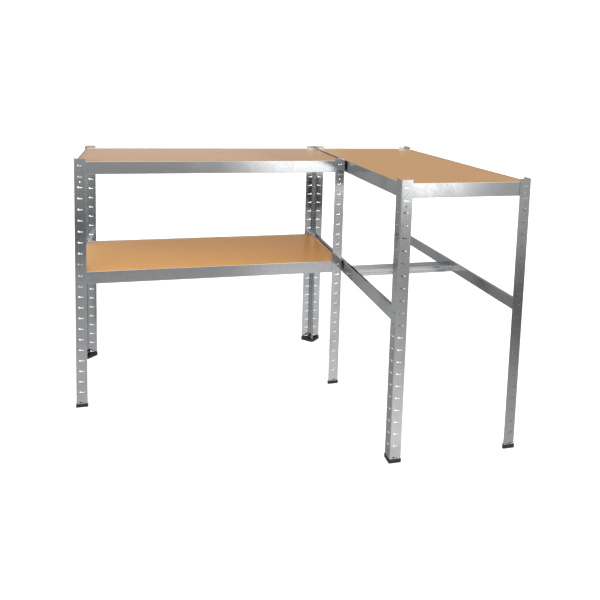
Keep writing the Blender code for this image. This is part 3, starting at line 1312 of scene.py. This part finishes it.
@dataclass
class Studio:
    """The floor and the surrounding light.

    The walls follow each other anticlockwise, by the bearing that each starts at: 0 is +X and 90 is +Y.
    """

    floor_size: float = 14.0
    floor_tone: float = 0.86
    floor_glow: float = 0.55
    backdrop: float = 1.2
    walls: tuple[Wall, ...] = (
        Wall(0.0, ((-90.0, 0.4), (-30.0, 0.4), (-8.0, 0.30), (12.0, 0.34), (30.0, 0.45), (60.0, 0.6), (90.0, 0.7))),
        Wall(73.0, ((-90.0, 0.4), (-30.0, 0.4), (-8.0, 0.30), (1.0, 0.35), (5.0, 0.95), (9.5, 0.90), (12.0, 0.25),
                    (18.0, 0.20), (30.0, 0.45), (60.0, 0.6), (90.0, 0.7)), 4.0),
        Wall(80.0, ((-90.0, 0.4), (-25.0, 0.4), (0.0, 0.45), (5.0, 1.25), (9.5, 1.20), (12.0, 0.25), (18.0, 0.20),
                    (30.0, 0.45), (90.0, 0.7))),
        Wall(97.0, ((-90.0, 0.3), (-24.0, 0.30), (-16.0, 0.16), (-9.0, 0.16), (0.0, 0.30), (30.0, 0.5), (90.0, 0.7))),
        Wall(109.0, ((-90.0, 0.36), (-24.0, 0.36), (-20.0, 0.50), (-16.0, 0.36), (-13.0, 0.26), (-9.0, 0.40),
                     (0.0, 0.40), (30.0, 0.5), (90.0, 0.7)), 4.0),
        Wall(116.0, ((-90.0, 0.3), (-24.0, 0.25), (-16.0, 0.26), (-14.0, 0.38), (-9.0, 0.38), (0.0, 0.40),
                     (30.0, 0.5), (90.0, 0.7)), 4.0),
        Wall(150.0, ((-90.0, 0.6), (-10.0, 0.5), (10.0, 1.2), (40.0, 1.4), (90.0, 0.7))),
        Wall(225.0, ((-90.0, 0.8), (-30.0, 0.65), (-24.0, 0.58), (-22.0, 0.50), (-20.0, 0.38), (-18.4, 0.44),
                     (-17.0, 0.52), (-15.2, 0.18), (-13.0, 0.05), (-11.0, 0.30), (-5.0, 0.42), (5.0, 1.6),
                     (10.0, 1.3), (22.0, 1.2), (29.0, 3.2), (45.0, 3.6), (60.0, 0.9), (90.0, 0.7))),
        Wall(279.5, ((-90.0, 1.0), (-30.0, 1.0), (-26.0, 0.85), (-22.0, 0.74), (-17.0, 0.84), (-14.0, 0.40),
                     (-11.0, 0.46), (-9.0, 0.30), (-8.1, 1.7), (-6.0, 2.8), (9.0, 2.8), (13.0, 1.2), (23.0, 1.2),
                     (30.0, 3.1), (45.0, 3.0), (60.0, 0.8), (90.0, 0.7)), 4.0),
        Wall(291.0, ((-90.0, 1.0), (-30.0, 1.0), (-26.0, 0.75), (-22.0, 0.50), (-17.0, 0.34), (-13.0, 0.46),
                     (-11.0, 0.42), (-9.6, 0.80), (-7.5, 1.1), (-4.0, 3.0), (10.0, 2.6), (14.0, 1.1), (24.0, 1.1),
                     (32.0, 3.0), (45.0, 3.0), (60.0, 0.8), (90.0, 0.7)), 3.0),
        Wall(294.6, ((-90.0, 1.0), (-30.0, 1.0), (-26.0, 0.75), (-22.0, 0.50), (-17.0, 0.34), (-13.0, 0.46),
                     (-11.0, 0.42), (-9.6, 2.3), (-8.0, 4.0), (10.0, 2.6), (14.0, 1.0), (24.0, 1.0), (32.0, 3.0),
                     (45.0, 3.0), (60.0, 0.8), (90.0, 0.7)), 1.0),
        Wall(298.0, ((-90.0, 0.8), (-30.0, 0.55), (-24.0, 0.36), (-20.0, 0.12), (-16.0, 0.16), (-13.0, 0.44),
                     (-9.0, 0.42), (0.0, 0.5), (14.0, 0.9), (24.0, 1.0), (32.0, 2.2), (45.0, 2.2), (60.0, 0.8),
                     (90.0, 0.7)), 4.0),
    )
    flags: tuple[Flag, ...] = (
        Flag("flag_near", (0.337, 0.396), -0.300, (0.765, 0.868)),
        Flag("flag_far", (0.316, 0.376), 0.150, (0.555, 0.750)),
        Flag("flag_right", (0.377, 0.425), 0.150, (0.555, 0.750), 0.20),
    )

    def build(self) -> None:
        """Make the floor, the light and the cards."""
        self._floor()
        self._world()
        for flag in self.flags:
            flag.build()

    def _floor(self) -> None:
        """A pale floor that the steel doesn't mirror."""
        half = self.floor_size / 2
        corners = [(x, y, 0.0) for x, y in rectangle(-half, -half, half, half)]
        floor = flat_sheet("floor", corners, Base_Color=(self.floor_tone,) * 3, Emission_Color=(1.0, 1.0, 1.0),
                           Emission_Strength=self.floor_glow)
        floor.visible_glossy = False

    def _world(self) -> None:
        """Light by direction for the object, and plain white behind it."""
        world = bpy.data.worlds.new("studio")
        bpy.context.scene.world = world
        world.use_nodes = True
        graph = Graph(world.node_tree)
        way = graph.node("ShaderNodeTexCoord", output="Generated")
        parts = graph.node("ShaderNodeSeparateXYZ", {}, {0: way}).socket.node.outputs
        x, y, z = [Wire(graph, part) for part in parts]
        turned = graph.node("ShaderNodeMath", {"operation": "ARCTAN2"}, {0: y * -1.0, 1: x * -1.0})
        bearing = turned * (180 / math.pi) + 180.0
        risen = graph.node("ShaderNodeMath", {"operation": "ARCSINE"}, {0: z.at_most(1.0).at_least(-1.0)})
        share = risen * (1 / math.pi) + 0.5
        light = self._wall(graph, self.walls[-1], share)
        for wall in self.walls:
            lit = self._wall(graph, wall, share)
            past = bearing.step(wall.start - wall.blend / 2, wall.start + wall.blend / 2)
            light = light * (1.0 - past) + lit * past
        seen = graph.node("ShaderNodeLightPath", output="Is Camera Ray")
        strength = light * (1.0 - seen) + seen * self.backdrop
        ground = world.node_tree.nodes["Background"]
        graph.feed(ground.inputs["Color"], (1.0, 1.0, 1.0))
        graph.feed(ground.inputs["Strength"], strength)

    @staticmethod
    def _wall(graph: Graph, wall: Wall, share: Wire) -> Wire:
        """The light of one wall.

        Args:
            graph: The world's tree.
            wall: The wall.
            share: The share of the way from straight down to straight up.

        Returns:
            The light's strength.
        """
        brightest = max(level for _, level in wall.levels)
        stops = [((angle + 90.0) / 180.0, (level / brightest,) * 3) for angle, level in wall.levels]
        return graph.node("ShaderNodeValToRGB", {"stops": stops}, {0: share}) * brightest


@dataclass
class Camera:
    """The viewpoint: a standing person's eye, a little left of the middle of the bench."""

    place: tuple[float, float, float] = (-0.4773, -2.2471, 1.2054)
    yaw: float = 0.2483
    pitch: float = 0.1068
    roll: float = 0.0278
    focal: float = 622.29
    centre: Point = (303.7, 150.0)
    frame_side: float = 600.0
    sensor: float = 36.0

    def build(self) -> None:
        """Make the camera and look through it."""
        data = bpy.data.cameras.new("camera")
        camera = linked("camera", data)
        ahead = Vector((math.sin(self.yaw) * math.cos(self.pitch), math.cos(self.yaw) * math.cos(self.pitch),
                        -math.sin(self.pitch)))
        right = Vector((math.cos(self.yaw), -math.sin(self.yaw), 0.0))
        over = right.cross(ahead)
        across = math.cos(self.roll) * right + math.sin(self.roll) * over
        upward = -math.sin(self.roll) * right + math.cos(self.roll) * over
        turned = Matrix((across, upward, -ahead)).transposed().to_4x4()
        camera.matrix_world = Matrix.Translation(self.place) @ turned
        data.sensor_width = self.sensor
        data.lens = self.focal * self.sensor / self.frame_side
        half = self.frame_side / 2
        data.shift_x = (half - self.centre[0]) / self.frame_side
        data.shift_y = (self.centre[1] - half) / self.frame_side
        bpy.context.scene.camera = camera


def main() -> None:
    """Build the bench's two bays, the studio and the camera."""
    logging.basicConfig(level=logging.INFO, format="%(name)s %(levelname)s %(message)s")
    bpy.context.scene.view_settings.view_transform = "Standard"
    shop = Shop()
    stock = Stock()
    stock.build()
    main_bay = Bay(
        prefix="main",
        beam_sides={f"main_{level}_beam_{side.name.lower()}": side for level in ("top", "shelf") for side in Side},
        rail_sides={},
        ties=(),
        tie_turn=0.0,
        # The main bay's boards take the darker and the lighter copies of the hardboard: painted shade on the worktop,
        # painted light on the shelf.
        boards={"main_worktop_board": stock.shaded_worktop, "main_shelf_board": stock.shelf},
        board_turn=0.0,
        long_sides=(Side.FRONT, Side.BACK),
    )
    wing_bay = Bay(
        prefix="wing",
        beam_sides={f"wing_top_beam_{side.name.lower()}": side for side in Side},
        rail_sides={f"wing_lower_rail_{side.name.lower()}": side for side in (Side.LEFT, Side.RIGHT)},
        ties=("wing_top_tie", "wing_lower_tie"),
        tie_turn=QUARTER,
        boards={"wing_worktop_board": stock.worktop},
        board_turn=QUARTER,
        long_sides=(Side.LEFT, Side.RIGHT),
    )
    for bay in (main_bay, wing_bay):
        bay.dress(shop, stock)
        log.info("%s bay dressed, %d pieces so far", bay.prefix, shop.made)
    Studio().build()
    Camera().build()


if __name__ == "__main__":
    main()
